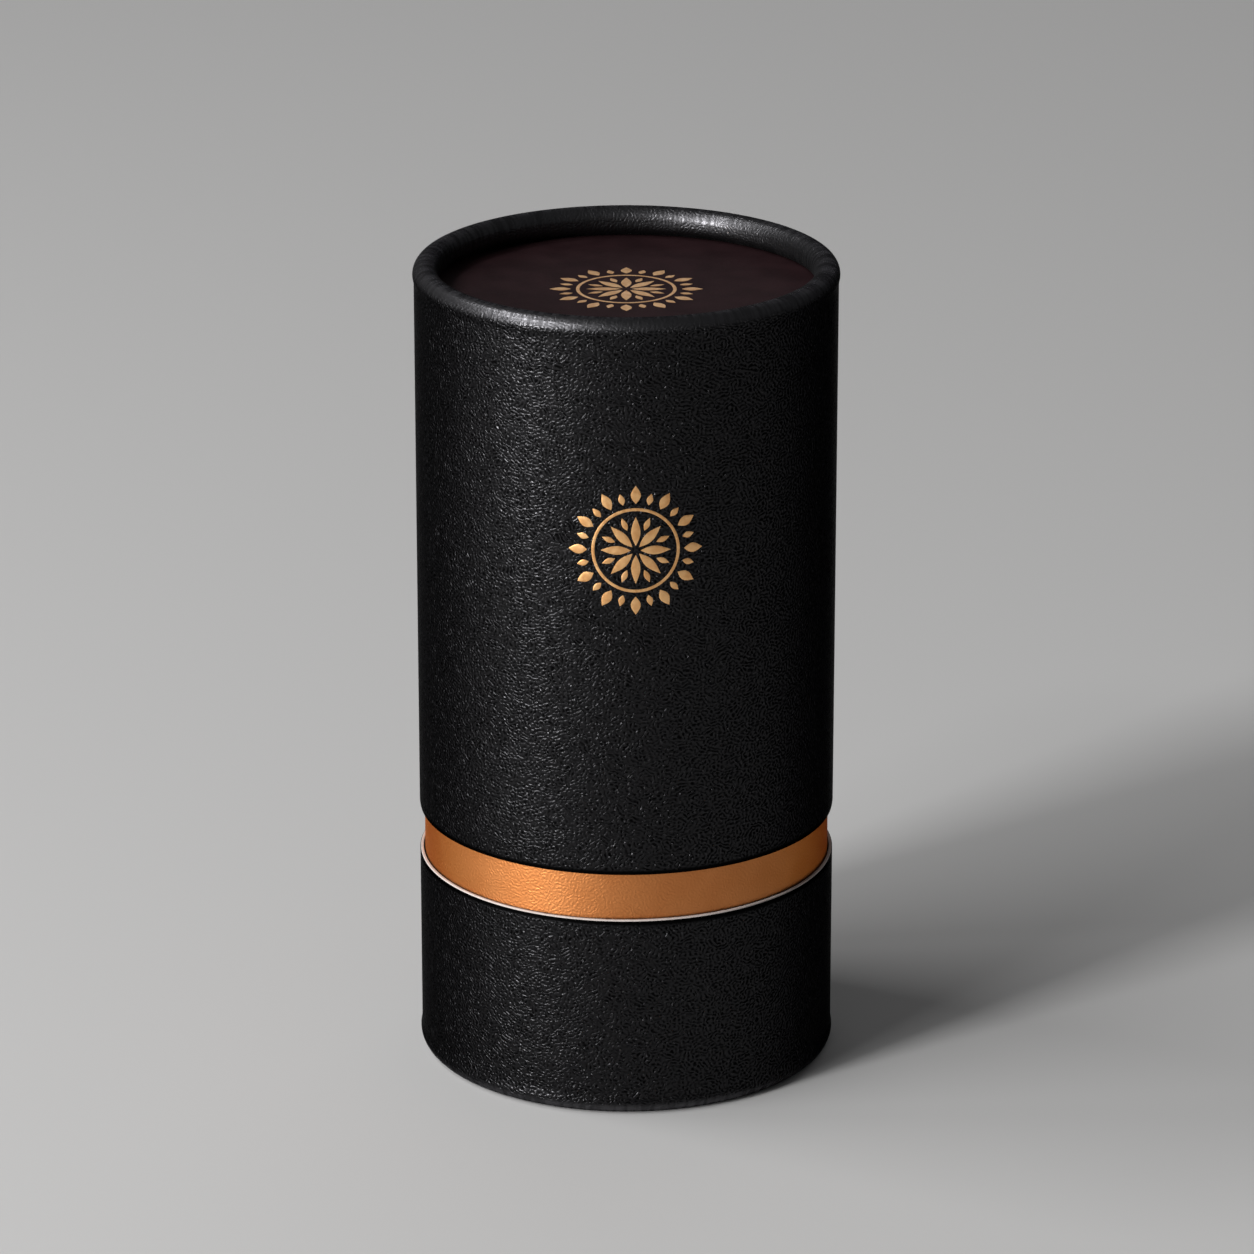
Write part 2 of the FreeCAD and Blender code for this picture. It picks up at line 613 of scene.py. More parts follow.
class Lathe:
    """Draws a half section with operators, point by point, and spins it about the tube's axis."""

    SECTORS = 30
    ACROSS = (0.0, 1.0, 0.0)

    def __init__(self, radius: float, height: float) -> None:
        """Starts the section.

        Args:
            radius: Radius of the first point.
            height: Its height.
        """
        self.mesh = bmesh.new()
        self.run = self.mesh.verts.layers.float.new(RUN)
        self.rolled = self.mesh.verts.layers.float.new(ROLLED)
        self.first = self.mesh.verts.new((radius, 0.0, height))
        self.tip = self.first

    def line_to(self, radius: float, height: float, steps: int = 1) -> "Lathe":
        """Extrudes the tip along a straight run.

        Args:
            radius: Radius at the end of the run.
            height: Height at the end of the run.
            steps: Edges along the run.

        Returns:
            The lathe, for the next run.
        """
        start = self.tip.co.copy()
        goal = Vector((radius, 0.0, height))
        for step in range(steps):
            self.tip = bmesh.ops.extrude_vert_indiv(self.mesh, verts=[self.tip])["verts"][0]
            self.tip.co = start.lerp(goal, (step + 1) / steps)
        return self

    def arc_about(self, radius: float, height: float, turn: float, steps: int) -> "Lathe":
        """Spins the tip about a point of the section.

        Args:
            radius: Radius of the centre.
            height: Height of the centre.
            turn: Angle in radians, positive from +Z to +X.
            steps: Edges along the arc.

        Returns:
            The lathe, for the next run.
        """
        made = bmesh.ops.spin(self.mesh, geom=[self.tip], cent=(radius, 0.0, height), axis=self.ACROSS,
                              angle=turn, steps=steps)
        self.tip = next(item for item in made["geom_last"] if isinstance(item, bmesh.types.BMVert))
        return self

    def close(self) -> None:
        """Joins the tip to the first point."""
        self.mesh.edges.new((self.tip, self.first))

    def measure(self) -> None:
        """Writes on each point of the section how far along it lies."""
        before = self.first.co.copy()
        run = 0.0
        for vert in self.mesh.verts:
            run += (vert.co - before).length
            vert[self.run] = run
            before = vert.co.copy()

    def spin(self, segments: int) -> bmesh.types.BMesh:
        """Spins the section once round the axis: one sector, then copies of it.

        Args:
            segments: Steps of the full turn, a multiple of the sectors.

        Returns:
            The closed mesh, its faces pointing outwards.
        """
        self.measure()
        sector = math.tau / self.SECTORS
        section = self.mesh.verts[:] + self.mesh.edges[:]
        bmesh.ops.spin(self.mesh, geom=section, cent=ORIGIN, axis=UP, angle=sector,
                       steps=segments // self.SECTORS)
        wedge = self.mesh.verts[:] + self.mesh.edges[:] + self.mesh.faces[:]
        bmesh.ops.spin(self.mesh, geom=wedge, cent=ORIGIN, axis=UP, angle=math.tau - sector,
                       steps=self.SECTORS - 1, use_duplicate=True)
        bmesh.ops.remove_doubles(self.mesh, verts=self.mesh.verts[:], dist=MERGE_DISTANCE)
        bmesh.ops.recalc_face_normals(self.mesh, faces=self.mesh.faces[:])
        return self.mesh


def spun_sleeve(low: float, high: float, inner: float, outer: float, bevel: float,
                segments: int, steps: int = 1) -> bmesh.types.BMesh:
    """Spins a straight tube whose four corners are rounded.

    Args:
        low: Height of its lower end.
        high: Height of its upper end.
        inner: Radius of its bore.
        outer: Radius of its outside.
        bevel: Radius of the rounding.
        segments: Steps of the full turn.
        steps: Edges along the outside.

    Returns:
        The closed mesh.
    """
    rounding = (-QUARTER_TURN, SLEEVE_BEVEL_STEPS)
    section = Lathe(outer, low + bevel).line_to(outer, high - bevel, steps)
    section.arc_about(outer - bevel, high - bevel, *rounding)
    section.line_to(inner + bevel, high).arc_about(inner + bevel, high - bevel, *rounding)
    section.line_to(inner, low + bevel).arc_about(inner + bevel, low + bevel, *rounding)
    section.line_to(outer - bevel, low).arc_about(outer - bevel, low + bevel, *rounding)
    return section.spin(segments)


def spun_disc(low: float, high: float, radius: float, bevel: float, segments: int,
              rings: int = 24) -> bmesh.types.BMesh:
    """Spins a flat round sheet whose upper and lower corners are rounded.

    Args:
        low: Height of its lower face.
        high: Height of its upper face.
        radius: Its radius.
        bevel: Radius of the rounding.
        segments: Steps of the full turn.
        rings: Edges from the middle to the rim.

    Returns:
        The closed mesh.
    """
    rounding = (QUARTER_TURN, DISC_BEVEL_STEPS)
    section = Lathe(0.0, high).line_to(radius - bevel, high, rings)
    section.arc_about(radius - bevel, high - bevel, *rounding)
    section.line_to(radius, low + bevel).arc_about(radius - bevel, low + bevel, *rounding)
    return section.line_to(0.0, low, rings).spin(segments)


def unroll(mesh: bmesh.types.BMesh, seam_angle: float, radius: float) -> None:
    """Maps a wrapped sheet to the flat one: round the tube from its seam, and along from its cut edge.

    Args:
        mesh: The spun sheet.
        seam_angle: Angle of the seam about the axis.
        radius: Radius at which lengths round the tube are true.
    """
    run = mesh.verts.layers.float[RUN]
    flat = mesh.loops.layers.uv.new(SHEET_MAP)
    for face in mesh.faces:
        turns = [(math.atan2(loop.vert.co.y, loop.vert.co.x) - seam_angle) % math.tau for loop in face.loops]
        crosses_seam = max(turns) - min(turns) > math.pi
        for loop, turn in zip(face.loops, turns):
            past_seam = math.tau if crosses_seam and turn < math.pi else 0.0
            loop[flat].uv = ((turn + past_seam) * radius, loop.vert[run])


def finish_piece(mesh: bmesh.types.BMesh, name: str, body: Body, finish: Finish, *replaces: str) -> None:
    """Turns a bmesh into a piece that rides on a body.

    Args:
        mesh: The finished shape, in its place. It is freed.
        name: The piece's name.
        body: The body that carries it.
        finish: Its finish.
        *replaces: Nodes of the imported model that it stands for.
    """
    data = bpy.data.meshes.new(name)
    mesh.to_mesh(data)
    mesh.free()
    data.shade_smooth()
    data.set_sharp_from_angle(angle=SHARP_ANGLE)
    data.materials.append(finish.material)
    piece = bpy.data.objects.new(name, data)
    bpy.context.scene.collection.objects.link(piece)
    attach(piece, body.value)
    if replaces:
        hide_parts(*replaces)
    log.info("%s rides on %s, %d faces", name, body.value, len(data.polygons))


def dress_node(node: str, finish: Finish) -> None:
    """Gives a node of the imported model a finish, its shape unchanged.

    Args:
        node: The node's name.
        finish: Its finish.
    """
    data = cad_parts[node].data
    data.materials.clear()
    data.materials.append(finish.material)
    log.info("%s keeps its shape", node)


@dataclass(frozen=True)
class RolledWall:
    """Sizes that the lid's wall and the base's wall share: a straight wall with one end rolled inwards."""

    rim_radius: float
    leg_height: float
    roll_radius: float = 2.5 * MILLIMETRE
    roll_bulge: float = 0.25 * MILLIMETRE
    blend_radius: float = 6.0 * MILLIMETRE
    tuck_turn: float = math.radians(93.6)
    wrap_thickness: float = 0.15 * MILLIMETRE
    board_thickness: float = 0.55 * MILLIMETRE
    burnish_rise: float = 1.35 * MILLIMETRE
    inner_burnish: float = 0.8
    curl_height: float = 0.9 * MILLIMETRE
    curl_depth: float = 0.12 * MILLIMETRE
    segments: int = 720
    wall_step: float = 3.0 * MILLIMETRE
    curl_steps: int = 4
    blend_steps: int = 4
    inner_blend_steps: int = 1
    crown_steps: int = 24
    leg_steps: int = 2
    tuck_steps: int = 8

    @classmethod
    def from_frame(cls) -> "RolledWall":
        """Reads the rim's radius and the height of the roll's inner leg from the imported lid.

        Returns:
            The sizes.
        """
        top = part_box("lid_wrap")[1]
        roll_height = top.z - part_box("lid_top_facing")[1].z
        return cls(rim_radius=top.x, leg_height=roll_height - 2 * cls.roll_radius)

    @property
    def wall_radius(self) -> float:
        """Outer radius of the straight wall."""
        return self.rim_radius - self.roll_bulge

    @property
    def roll_axis_radius(self) -> float:
        """Radius of the circle that the roll is wound about."""
        return self.rim_radius - self.roll_radius

    @property
    def blend_turn(self) -> float:
        """Turn of the hollow arc that leads from the wall to the roll."""
        reach = self.blend_radius + self.roll_radius
        return math.acos((reach - self.roll_bulge) / reach)

    @property
    def blend_drop(self) -> float:
        """Height from the start of that arc to the roll's axis."""
        return (self.blend_radius + self.roll_radius) * math.sin(self.blend_turn)

    def layer(self, outer_depth: float, inner_depth: float, edge_z: float, roll_z: float,
              end: RollEnd, curled: bool = False) -> bmesh.types.BMesh:
        """Makes one layer of the wall as a closed ring.

        Args:
            outer_depth: Depth of its outer face under the wall's outside.
            inner_depth: Depth of its inner face.
            edge_z: Height of its cut edge.
            roll_z: Height of the roll's axis.
            end: Which end is rolled.
            curled: Whether the cut edge curls in a little.

        Returns:
            The spun mesh, whose points carry how far they are rolled in, from 0 to 1.
        """
        way = end.value
        outer_radius = self.wall_radius - outer_depth
        inner_reach = self.roll_radius - inner_depth
        inner_leg_radius = self.roll_axis_radius - inner_reach
        blend_z = roll_z - way * self.blend_drop
        tuck_z = roll_z - way * self.leg_height
        blend_axis = self.wall_radius + self.blend_radius
        crown = math.pi + self.blend_turn
        steps = max(1, round(abs(blend_z - edge_z) / self.wall_step))
        section = self.curled_edge(outer_radius, edge_z, way) if curled else Lathe(outer_radius, edge_z)
        section.line_to(outer_radius, blend_z, steps)
        section.arc_about(blend_axis, blend_z, way * self.blend_turn, self.blend_steps)
        section.arc_about(self.roll_axis_radius, roll_z, -way * crown, self.crown_steps)
        section.line_to(section.tip.co.x, tuck_z, self.leg_steps)
        section.arc_about(self.roll_axis_radius, tuck_z, -way * self.tuck_turn, self.tuck_steps)
        tuck_end = math.pi + self.tuck_turn
        section.line_to(self.roll_axis_radius + inner_reach * math.cos(tuck_end),
                        tuck_z + way * inner_reach * math.sin(tuck_end))
        section.arc_about(self.roll_axis_radius, tuck_z, way * self.tuck_turn, self.tuck_steps // 2)
        section.line_to(inner_leg_radius, roll_z)
        section.arc_about(self.roll_axis_radius, roll_z, way * crown, self.crown_steps // 2)
        section.arc_about(blend_axis, blend_z, -way * self.blend_turn, self.inner_blend_steps)
        section.line_to(self.wall_radius - inner_depth, edge_z).close()
        for vert in section.mesh.verts:
            vert[section.rolled] = self.burnish(vert.co, roll_z, way)
        return section.spin(self.segments)

    def board(self, edge_z: float, roll_z: float, end: RollEnd) -> bmesh.types.BMesh:
        """Makes the board layer, which lies under the wrap."""
        depth = self.wrap_thickness
        return self.layer(depth, depth + self.board_thickness, edge_z, roll_z, end)

    def burnish(self, place: Vector, roll_z: float, way: int) -> float:
        """How far the roll has smoothed its paper at a place of the section.

        Args:
            place: The place, at its radius in x and its height in z.
            roll_z: Height of the roll's axis.
            way: +1 for a roll at the top, -1 at the foot.

        Returns:
            From 0 on the wall to 1 on the crown, and a little less down the inner leg.
        """
        inward = (self.roll_axis_radius - place.x) / self.burnish_rise
        if inward > 0.0:
            return 1.0 - (1.0 - self.inner_burnish) * min(1.0, inward)
        return min(1.0, max(0.0, way * (place.z - roll_z) / self.burnish_rise))

    def curled_edge(self, radius: float, edge_z: float, way: int) -> Lathe:
        """Starts a section at a cut edge that curls in a little.

        Args:
            radius: Outer radius of the wall.
            edge_z: Height of the edge.
            way: +1 where the wall goes up from the edge, -1 where it goes down.

        Returns:
            The lathe, at the end of the curl.
        """
        curl_radius = (self.curl_height ** 2 + self.curl_depth ** 2) / (2 * self.curl_depth)
        turn = math.asin(self.curl_height / curl_radius)
        section = Lathe(radius - self.curl_depth, edge_z)
        return section.arc_about(radius - curl_radius, edge_z + way * self.curl_height, -way * turn,
                                 self.curl_steps)


@dataclass(frozen=True)
class PaperHand:
    """What wrapping by hand leaves in a sheet: a lap at the back, and gathers where it is rolled in."""

    seam_angle: float
    lap_width: float = 8.0 * MILLIMETRE
    lap_ease: float = 4.0 * MILLIMETRE
    lap_rise: float = 0.09 * MILLIMETRE
    face_share: float = 0.9
    gather_depth: float = 0.035 * MILLIMETRE
    gather_pitch: float = 1.3 * MILLIMETRE
    gather_slant: float = 0.3

    def lap(self, place: Vector) -> float:
        """Tells how far the lap rises at a place on the sheet.

        Args:
            place: The place on the object.

        Returns:
            The rise in metres.
        """
        radius = math.hypot(place.x, place.y)
        angle = math.atan2(place.y, place.x) - self.seam_angle
        along = (angle % math.tau) * radius
        if along < self.lap_width:
            return self.lap_rise
        ease = 1.0 - (along - self.lap_width) / self.lap_ease
        return self.lap_rise * max(0.0, ease) ** 2

    def gather(self, place: Vector, radius: float) -> float:
        """Tells how deep the gathers are at a place on a roll.

        Args:
            place: The place on the object.
            radius: Radius of the wall that is rolled in.

        Returns:
            The depth in metres.
        """
        round_tube = Vector((place.x, place.y, 0.0)).normalized() * radius
        drawn = round_tube + Vector((0.0, 0.0, place.z * self.gather_slant))
        return self.gather_depth * abs(noise.noise(drawn / self.gather_pitch))

    def wrap(self, wall: RolledWall, edge_z: float, roll_z: float, end: RollEnd,
             curled: bool = False) -> bmesh.types.BMesh:
        """Wraps a wall in a sheet and rolls the sheet in with it.

        Args:
            wall: Sizes of the wall.
            edge_z: Height of its cut edge.
            roll_z: Height of the roll's axis.
            end: Which end is rolled.
            curled: Whether the cut edge curls in a little.

        Returns:
            The spun sheet, mapped to the flat one.
        """
        sheet = wall.layer(0.0, wall.wrap_thickness, edge_z, roll_z, end, curled)
        self.work(sheet, wall, roll_z, end)
        unroll(sheet, self.seam_angle, wall.wall_radius)
        return sheet

    def work(self, mesh: bmesh.types.BMesh, wall: RolledWall, roll_z: float, end: RollEnd) -> None:
        """Moves the outer face of a wrap.

        Args:
            mesh: The spun sheet.
            wall: Sizes of the wall it covers.
            roll_z: Height of the roll's axis.
            end: Which end is rolled.
        """
        blend_z = roll_z - end.value * wall.blend_drop
        inside = wall.wall_radius - self.face_share * wall.wrap_thickness
        for vert in mesh.verts:
            outward = Vector((vert.co.x, vert.co.y, 0.0)).normalized()
            past_blend = (vert.co.z - blend_z) * end.value
            if past_blend <= 0.0 and vert.co.xy.length > inside:
                fade = min(1.0, -past_blend / self.lap_width)
                vert.co += outward * self.lap(vert.co) * fade
            elif past_blend > 0.0:
                arm = vert.co - (outward * wall.roll_axis_radius + Vector((0.0, 0.0, roll_z)))
                crest = max(0.0, end.value * arm.z / wall.roll_radius)
                if arm.length > wall.roll_radius - wall.wrap_thickness / 2:
                    vert.co -= arm.normalized() * self.gather(vert.co, wall.wall_radius) * crest

    def overlap(self, mesh: bmesh.types.BMesh, radius: float, face: Face) -> None:
        """Raises the lap on one face of a straight sleeve.

        Args:
            mesh: The spun sleeve.
            radius: Radius of that face.
            face: Which face it is.
        """
        for vert in mesh.verts:
            if abs(vert.co.xy.length - radius) < self.lap_rise / 2:
                outward = Vector((vert.co.x, vert.co.y, 0.0)).normalized()
                vert.co += outward * face.value * self.lap(vert.co)


@dataclass(frozen=True)
class Ornament:
    """A round foil ornament: a rosette of petals in a ring, with a wreath of leaves about it."""

    radius: float
    thickness: float = 0.015 * MILLIMETRE
    lift: float = 0.01 * MILLIMETRE
    swell: float = 0.05 * MILLIMETRE
    swell_power: int = 4
    petals: int = 8
    leaves: int = 24
    petal_shares: Span = (0.07, 0.52)
    bud_shares: Span = (0.33, 0.54)
    leaf_shares: Span = (0.72, 1.0)
    small_leaf_shares: Span = (0.72, 0.90)
    petal_plump_share: float = 0.15
    bud_plump_share: float = 0.2
    leaf_plump_share: float = 0.26
    heel_share: float = 1.15
    taper_share: float = 0.3
    ring_share: float = 0.61
    ring_width_share: float = 0.045
    length_steps: int = 14
    width_steps: int = 8
    ring_segments: int = 144

    def flat(self) -> bmesh.types.BMesh:
        """Draws the ornament flat about the origin.

        Returns:
            The mesh of thin closed shapes.
        """
        mesh = bmesh.new()
        for index in range(self.petals):
            turn = math.tau * index / self.petals
            self.leaf(mesh, self.petal_shares, self.petal_plump_share, turn)
            self.leaf(mesh, self.bud_shares, self.bud_plump_share, turn + math.pi / self.petals)
        for index in range(self.leaves):
            shares = self.small_leaf_shares if index % 2 else self.leaf_shares
            self.leaf(mesh, shares, self.leaf_plump_share, math.tau * index / self.leaves)
        self.ring(mesh)
        bmesh.ops.recalc_face_normals(mesh, faces=mesh.faces[:])
        bmesh.ops.solidify(mesh, geom=mesh.faces[:], thickness=self.thickness)
        return mesh

    def leaf(self, mesh: bmesh.types.BMesh, shares: Span, plump: float, turn: float) -> None:
        """Adds one pointed leaf that lies along a radius, swollen along its middle.

        Args:
            mesh: The mesh to add to.
            shares: Radii of its two tips, as shares of the ornament's radius.
            plump: Widest half width, as a share of its length.
            turn: Angle of the radius.
        """
        made = bmesh.ops.create_grid(mesh, x_segments=self.length_steps, y_segments=self.width_steps,
                                     size=1.0)
        start, stop = (share * self.radius for share in shares)
        length = stop - start
        for vert in made["verts"]:
            along = (vert.co.x + 1.0) / 2.0
            bow = math.sin(math.pi * along)
            half_width = plump * length * bow * (self.heel_share - self.taper_share * along)
            rise = self.swell * bow * (1.0 - vert.co.y ** self.swell_power)
            vert.co = Vector((start + along * length, vert.co.y * half_width, rise))
        bmesh.ops.remove_doubles(mesh, verts=made["verts"], dist=MERGE_DISTANCE)
        kept = [vert for vert in made["verts"] if vert.is_valid]
        bmesh.ops.rotate(mesh, verts=kept, cent=ORIGIN, matrix=Matrix.Rotation(turn, 3, "Z"))

    def ring(self, mesh: bmesh.types.BMesh) -> None:
        """Adds the thin ring between the rosette and the wreath, swollen along its middle.

        Args:
            mesh: The mesh to add to.
        """
        inner = self.ring_share * self.radius
        half_width = self.ring_width_share * self.radius / 2
        made = bmesh.ops.create_circle(mesh, segments=self.ring_segments, radius=inner)
        loop = list({edge for vert in made["verts"] for edge in vert.link_edges})
        for reach, rise in ((inner + half_width, self.swell), (inner + 2 * half_width, 0.0)):
            grown = bmesh.ops.extrude_edge_only(mesh, edges=loop)["geom"]
            loop = [item for item in grown if isinstance(item, bmesh.types.BMEdge)]
            for vert in (item for item in grown if isinstance(item, bmesh.types.BMVert)):
                vert.co = vert.co.xy.normalized().to_3d() * reach + Vector((0.0, 0.0, rise))

    def laid(self, place: Callable[[Vector], Vector]) -> bmesh.types.BMesh:
        """Lays the flat ornament on a surface.

        Args:
            place: Gives the place on the object of a point of the flat ornament, whose z is its rise.

        Returns:
            The laid mesh.
        """
        mesh = self.flat()
        for vert in mesh.verts:
            vert.co = place(Vector((vert.co.x, vert.co.y, vert.co.z + self.lift)))
        return mesh


@dataclass(frozen=True)
class PaperedPart:
    """What the lid, the base and the neck share: a body, and thin papers on their walls and discs."""

    body: ClassVar[Body]
    finishes: Finishes
    lining_thickness: float = 0.1 * MILLIMETRE
    sheet_bevel: float = 0.03 * MILLIMETRE
    segments: int = 360

    def line_wall(self, name: str, node: str, hand: Optional[PaperHand] = None) -> None:
        """Builds the sleeve of plain paper inside a wall.

        Args:
            name: The piece's name.
            node: The node that it stands for.
            hand: Raises a lap in its bore, or None for a sleeve without one.
        """
        low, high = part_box(node)
        bore = high.x - self.lining_thickness
        sleeve = spun_sleeve(low.z, high.z, bore, high.x, self.sheet_bevel, self.segments)
        if hand:
            hand.overlap(sleeve, bore, Face.BORE)
        finish_piece(sleeve, name, self.body, self.finishes.lining, node)

    def paper_disc(self, name: str, node: str, finish: Finish) -> None:
        """Builds the round sheet on a disc.

        Args:
            name: The piece's name.
            node: The node that it stands for.
            finish: Its finish.
        """
        low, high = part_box(node)
        sheet = spun_disc(low.z, high.z, high.x, self.sheet_bevel, self.segments)
        finish_piece(sheet, name, self.body, finish, node)


@dataclass(frozen=True, kw_only=True)
class Lid(PaperedPart):
    """The deep lid: board, wrap, facing, linings and the foil ornament."""

    body: ClassVar[Body] = Body.LID
    wall: RolledWall
    seam_angle: float = math.radians(97.25)
    front_radius: float = 13.0 * MILLIMETRE
    front_turn: float = math.radians(2.5)
    front_height_share: float = 0.594
    top_radius: float = 15.0 * MILLIMETRE

    def build(self) -> None:
        """Builds and dresses the lid's pieces."""
        low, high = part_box("lid_wrap")
        self.wrap_wall(low.z, high.z - self.wall.roll_radius)
        self.line_wall("lid_lining_sleeve", "lid_lining")
        self.paper_disc("lid_ceiling_sheet", "lid_under_lining", self.finishes.lining)
        self.paper_disc("lid_facing_sheet", "lid_top_facing", self.finishes.facing)
        self.stamp_front(low.z, high.z)
        self.stamp_top()
        dress_node("lid_top_disc", self.finishes.grey_board)

    def wrap_wall(self, edge_z: float, roll_z: float) -> None:
        """Builds the grained wrap and the board wall under it.

        Args:
            edge_z: Height of the lid's lower edge.
            roll_z: Height of the roll's axis.
        """
        sheet = PaperHand(self.seam_angle).wrap(self.wall, edge_z, roll_z, RollEnd.TOP, curled=True)
        finish_piece(sheet, "lid_wrap_sheet", self.body, self.finishes.grained, "lid_wrap")
        board = self.wall.board(edge_z, roll_z, RollEnd.TOP)
        finish_piece(board, "lid_board_wall", self.body, self.finishes.white_board, "lid_tube")

    def stamp_front(self, low_z: float, high_z: float) -> None:
        """Stamps the ornament on the front of the wall.

        Args:
            low_z: Height of the lid's lower edge.
            high_z: Height of its rim.
        """
        centre_z = low_z + self.front_height_share * (high_z - low_z)
        radius = self.wall.wall_radius

        def on_wall(point: Vector) -> Vector:
            """Wraps a flat point about the wall, from the front line on.

            Args:
                point: The point, whose z is its rise.

            Returns:
                Its place on the wall.
            """
            angle = self.front_turn + point.x / radius - QUARTER_TURN
            reach = radius + point.z
            return Vector((reach * math.cos(angle), reach * math.sin(angle), centre_z + point.y))

        mesh = Ornament(self.front_radius).laid(on_wall)
        finish_piece(mesh, "lid_front_foil", self.body, self.finishes.foil)

    def stamp_top(self) -> None:
        """Stamps the ornament on the facing of the disc."""
        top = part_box("lid_top_facing")[1].z
        mesh = Ornament(self.top_radius).laid(lambda point: point + Vector((0.0, 0.0, top)))
        finish_piece(mesh, "lid_top_foil", self.body, self.finishes.foil)


@dataclass(frozen=True, kw_only=True)
class Base(PaperedPart):
    """The short base: wrap, bare board edge and the papers inside its foot."""

    body: ClassVar[Body] = Body.BASE
    wall: RolledWall
    seam_angle: float = math.radians(86.25)
    edge_bevel: float = 0.08 * MILLIMETRE
    edge_bevel_steps: int = 2
    edge_wander: float = 0.05 * MILLIMETRE
    edge_wander_pitch: float = 3.0 * MILLIMETRE
    nick_depth: float = 0.16 * MILLIMETRE
    nick_pitch: float = 1.6 * MILLIMETRE
    nick_share: float = 0.42

    def build(self) -> None:
        """Builds and dresses the base's pieces."""
        facing_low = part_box("base_under_facing")[0].z
        roll_z = facing_low - self.wall.leg_height - self.wall.roll_radius
        self.wrap_wall(roll_z)
        self.bare_edge(roll_z)
        self.line_wall("base_lining_sleeve", "base_lining")
        self.paper_disc("base_foot_sheet", "base_under_facing", self.finishes.facing)
        dress_node("base_disc", self.finishes.grey_board)

    def wrap_wall(self, roll_z: float) -> None:
        """Builds the grained wrap, pressed flat where the box stands.

        Args:
            roll_z: Height of the roll's axis.
        """
        edge_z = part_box("base_wrap")[1].z
        sheet = PaperHand(self.seam_angle).wrap(self.wall, edge_z, roll_z, RollEnd.FOOT)
        for vert in sheet.verts:
            vert.co.z = max(0.0, vert.co.z)
        finish_piece(sheet, "base_wrap_sheet", self.body, self.finishes.grained, "base_wrap")

    def bare_edge(self, roll_z: float) -> None:
        """Builds the board wall, its cut edge a little uneven and nicked.

        Args:
            roll_z: Height of the roll's axis.
        """
        edge_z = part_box("base_tube")[1].z
        board = self.wall.board(edge_z, roll_z, RollEnd.FOOT)
        corners = [edge for edge in board.edges
                   if all(abs(vert.co.z - edge_z) < MERGE_DISTANCE for vert in edge.verts)
                   and abs(edge.verts[0].co.xy.length - edge.verts[1].co.xy.length) < MERGE_DISTANCE]
        bmesh.ops.bevel(board, geom=corners, offset=self.edge_bevel, offset_type="OFFSET",
                        segments=self.edge_bevel_steps, profile=0.5, affect="EDGES", material=-1)
        top = edge_z - 2 * self.edge_bevel
        for vert in board.verts:
            if vert.co.z > top:
                vert.co.z -= self.wear(vert.co)
        finish_piece(board, "base_board_wall", self.body, self.finishes.white_board, "base_tube")

    def wear(self, place: Vector) -> float:
        """Tells how far the cut edge lies under its level.

        Args:
            place: A place on the edge.

        Returns:
            The depth there, in metres.
        """
        wander = self.edge_wander * abs(noise.noise(place / self.edge_wander_pitch))
        chip = max(0.0, noise.noise(place / self.nick_pitch) - self.nick_share)
        return wander + self.nick_depth * chip / (1.0 - self.nick_share)


@dataclass(frozen=True)
class Neck(PaperedPart):
    """The neck: copper paper outside, board, and a dark lining."""

    body: ClassVar[Body] = Body.BASE
    seam_angle: float = math.radians(91.5)
    lap_rise: float = 0.06 * MILLIMETRE
    board_bevel: float = 0.06 * MILLIMETRE
    copper_steps: int = 48

    def build(self) -> None:
        """Builds and dresses the neck's pieces."""
        hand = PaperHand(self.seam_angle, lap_rise=self.lap_rise)
        self.wrap_copper(hand)
        self.stand_board()
        self.line_wall("neck_lining_sleeve", "neck_lining", hand)
        self.paper_disc("neck_floor_sheet", "floor_lining", self.finishes.lining)

    def wrap_copper(self, hand: PaperHand) -> None:
        """Builds the copper paper round the board tube.

        Args:
            hand: Gives the paper its lap.
        """
        low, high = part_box("neck_wrap")
        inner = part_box("neck_tube")[1].x
        copper = spun_sleeve(low.z, high.z, inner, high.x, self.sheet_bevel, self.segments, self.copper_steps)
        hand.overlap(copper, high.x, Face.OUTSIDE)
        unroll(copper, self.seam_angle, high.x)
        finish_piece(copper, "neck_copper_sheet", self.body, self.finishes.copper, "neck_wrap")

    def stand_board(self) -> None:
        """Builds the board tube between the copper paper and the lining."""
        low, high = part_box("neck_tube")
        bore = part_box("neck_lining")[1].x
        board = spun_sleeve(low.z, high.z, bore, high.x, self.board_bevel, self.segments)
        finish_piece(board, "neck_board_sleeve", self.body, self.finishes.grey_board, "neck_tube")


@dataclass(frozen=True)
class SoftBox:
    """A soft rectangular lamp, its power in watts, aimed at a height on the box's axis."""

    name: str
    place: Triple
    aim_height: float
    size: Span
    power: float

    def build(self) -> None:
        """Adds the lamp to the scene."""
        light = bpy.data.lights.new(self.name, "AREA")
        light.shape = "RECTANGLE"
        light.size, light.size_y = self.size
        light.energy = self.power
        lamp = bpy.data.objects.new(self.name, light)
        lamp.location = self.place
        facing = Vector((0.0, 0.0, self.aim_height)) - Vector(self.place)
        lamp.rotation_euler = facing.to_track_quat("-Z", "Y").to_euler()
        bpy.context.scene.collection.objects.link(lamp)


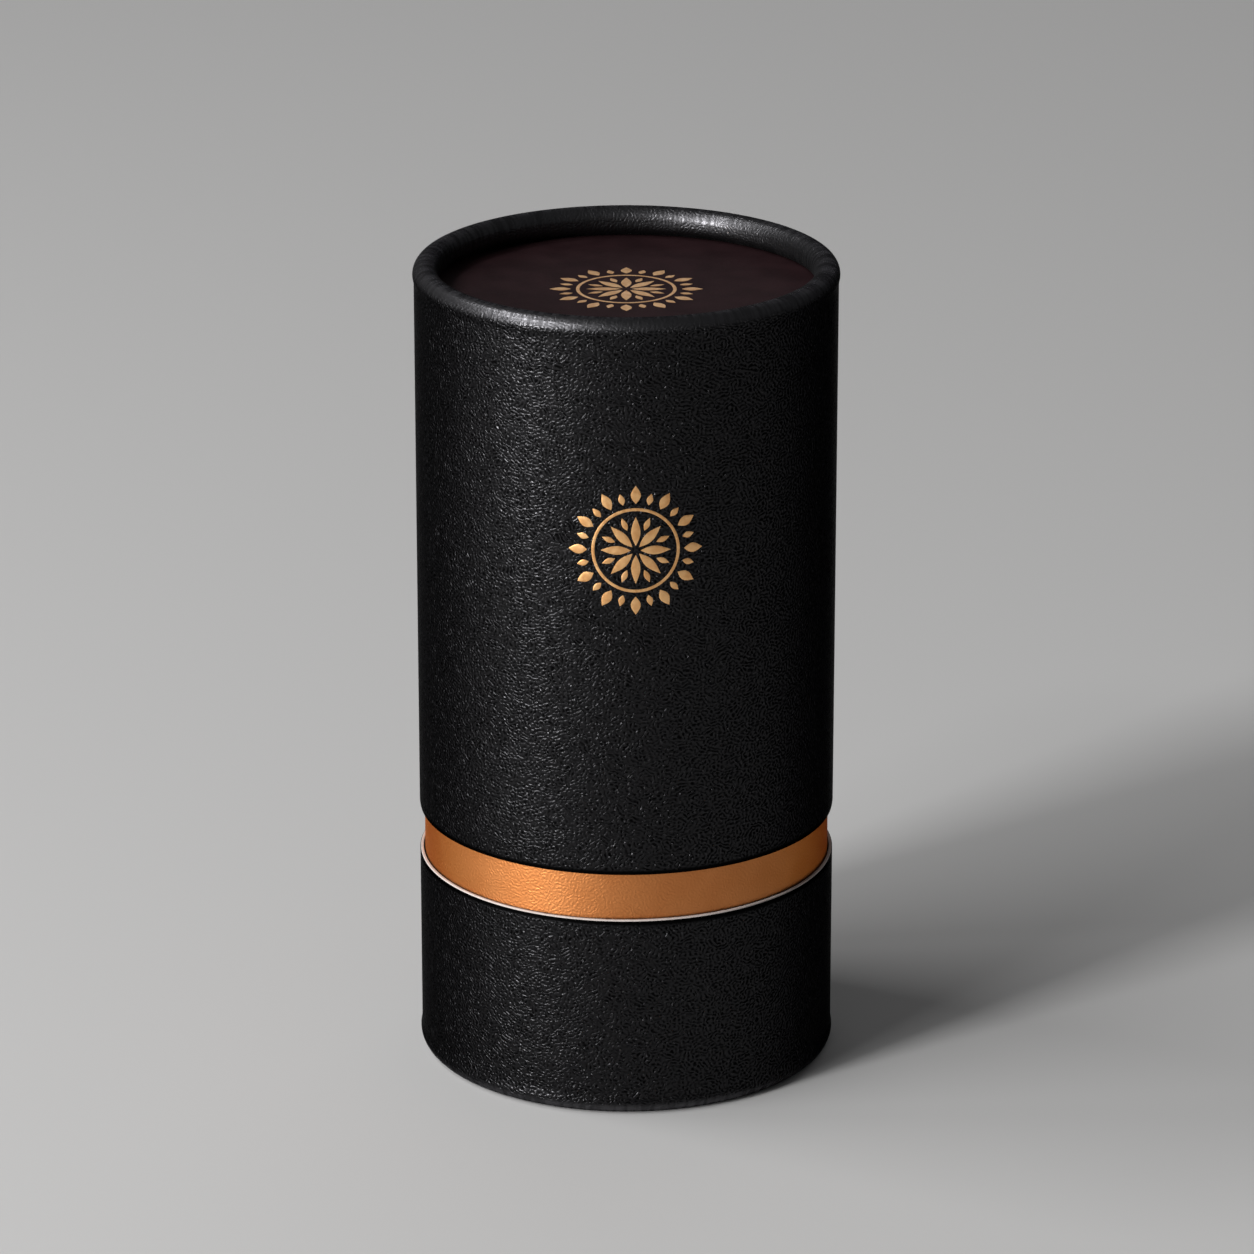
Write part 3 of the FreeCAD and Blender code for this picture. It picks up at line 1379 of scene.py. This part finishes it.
@dataclass(frozen=True)
class Studio:
    """A pale floor, four soft lamps and a camera at the photograph's viewing angle."""

    floor_side: float = 8.0
    floor_colour: Colour = (0.60, 0.595, 0.59, 1.0)
    floor_roughness: float = 0.9
    floor_specular: float = 0.1
    world_colour: Colour = (0.85, 0.86, 0.88, 1.0)
    world_strength: float = 0.09
    lamps: tuple[SoftBox, ...] = (
        SoftBox("key", place=(-1.53, -1.29, 0.47), aim_height=0.09, size=(0.36, 0.85), power=48.0),
        SoftBox("middle", place=(-1.25, -0.75, 1.45), aim_height=0.1, size=(1.3, 0.12), power=18.0),
        SoftBox("top", place=(-1.05, 0.25, 1.75), aim_height=0.1, size=(0.6, 0.24), power=8.0),
        SoftBox("back", place=(0.2, 2.0, 0.95), aim_height=0.12, size=(2.4, 1.2), power=5.4),
    )
    image_side_px: float = 1254.0
    focal_px: float = 6040.95
    axis_px: float = 626.3
    camera_back: float = 1.13312
    camera_height: float = 0.49124
    camera_pitch: float = math.radians(19.61)
    sensor_width: float = 36.0

    def build(self) -> None:
        """Adds the floor, the lamps, the world and the camera."""
        bpy.context.scene.view_settings.view_transform = "Standard"
        self.lay_floor()
        self.light()
        self.aim_camera()

    def lay_floor(self) -> None:
        """Lays the pale floor."""
        mesh = bmesh.new()
        bmesh.ops.create_grid(mesh, x_segments=1, y_segments=1, size=self.floor_side / 2)
        data = bpy.data.meshes.new("floor")
        mesh.to_mesh(data)
        mesh.free()
        floor = bpy.data.objects.new("floor", data)
        board = NodeBoard("floor")
        board.surface(Base_Color=self.floor_colour, Roughness=self.floor_roughness,
                      Specular_IOR_Level=self.floor_specular)
        data.materials.append(board.material)
        bpy.context.scene.collection.objects.link(floor)

    def light(self) -> None:
        """Sets the lamps and the even light of the room."""
        world = bpy.data.worlds.new("room")
        world.use_nodes = True
        background = world.node_tree.nodes["Background"]
        background.inputs["Color"].default_value = self.world_colour
        background.inputs["Strength"].default_value = self.world_strength
        bpy.context.scene.world = world
        for lamp in self.lamps:
            lamp.build()

    def aim_camera(self) -> None:
        """Places the camera where the photograph was taken from."""
        data = bpy.data.cameras.new("camera")
        data.sensor_width = self.sensor_width
        data.lens = self.sensor_width * self.focal_px / self.image_side_px
        data.shift_x = (self.image_side_px / 2 - self.axis_px) / self.image_side_px
        camera = bpy.data.objects.new("camera", data)
        camera.location = (0.0, -self.camera_back, self.camera_height)
        camera.rotation_euler = Euler((QUARTER_TURN - self.camera_pitch, 0.0, 0.0))
        bpy.context.scene.collection.objects.link(camera)
        bpy.context.scene.camera = camera


def main() -> None:
    """Builds the box piece by piece, then the studio round it."""
    logging.basicConfig(level=logging.INFO, format="%(name)s: %(message)s")
    finishes = Finishes.make()
    wall = RolledWall.from_frame()
    Lid(finishes, wall=wall).build()
    Base(finishes, wall=wall).build()
    Neck(finishes).build()
    Studio().build()


if __name__ == "__main__":
    main()
